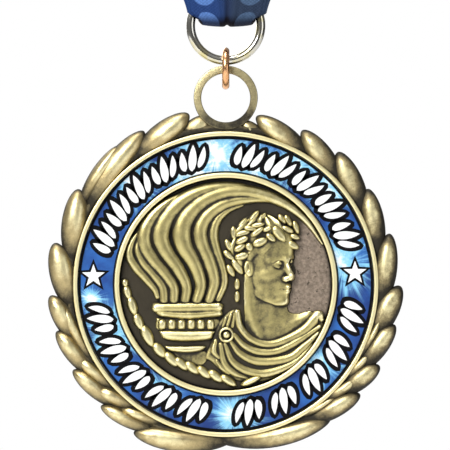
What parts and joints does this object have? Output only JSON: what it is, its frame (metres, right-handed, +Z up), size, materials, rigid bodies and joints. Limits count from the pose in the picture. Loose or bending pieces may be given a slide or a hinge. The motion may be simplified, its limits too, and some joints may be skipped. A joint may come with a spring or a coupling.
{
  "type": "award medal on a neck ribbon",
  "caption": "Round relief medal with a printed band and leaf border, linked by a jump ring and a ring to a neck ribbon folded for hanging.",
  "frame": {"origin": "axis of the peg or hook through the top bend of the folded ribbon, at the middle of its width", "axes": "+Z up along the ribbon, the medal's front towards -Y, +X to the right as it is looked at"},
  "size_m": [0.0634, 0.0108, 0.1737],
  "materials": {
    "ribbon": "woven satin",
    "thread": "twisted thread",
    "paper": "matt",
    "nickel_wire": "polished",
    "copper_wire": "copper plated",
    "antique_gold": "antiqued, dark in the recesses",
    "bright_gold": "polished rim",
    "dark_gold": "antiqued dark, grainy",
    "print": "printed, clear coated",
    "adhesive": "clear adhesive"
  },
  "bodies": {
    "ribbon": {"ribbon_hank": "ribbon", "ribbon_drop": "ribbon", "paper_band": "paper", "seam_stitches": "thread"},
    "ring": {"large_ring": "nickel_wire", "ribbon_bight": "ribbon"},
    "link": {"jump_ring": "copper_wire"},
    "medal": {"eyelet": "antique_gold", "medal_disc": "antique_gold", "back_rim": "antique_gold", "outer_rim": "bright_gold", "adhesive_ring": "adhesive", "printed_ring": "print", "inner_rim": "bright_gold", "centre_field": "dark_gold", "left_wreath": "antique_gold", "right_wreath": "antique_gold", "flames": "antique_gold", "torch_bowl": "antique_gold", "torch_beads": "antique_gold", "torch_collar": "antique_gold", "torch_foot": "antique_gold", "head": "antique_gold", "head_wreath": "antique_gold", "neck": "antique_gold", "toga": "antique_gold", "brooch": "antique_gold", "laurel_branch": "antique_gold"}
  },
  "joints": [
    {"name": "ribbon_flex", "type": "hinge", "parent": "ribbon", "child": "ring", "pos_m": [0, -0.0031, -0.08225], "axis": [1, 0, 0], "range_deg": [-45, 45]},
    {"name": "link_swing", "type": "hinge", "parent": "ring", "child": "link", "pos_m": [0, -0.0031, -0.09815], "axis": [1, 0, 0], "range_deg": [-75, 75]},
    {"name": "medal_swing", "type": "hinge", "parent": "link", "child": "medal", "pos_m": [0, -0.0031, -0.10485], "axis": [0, 1, 0], "range_deg": [-45, 45]}
  ]
}
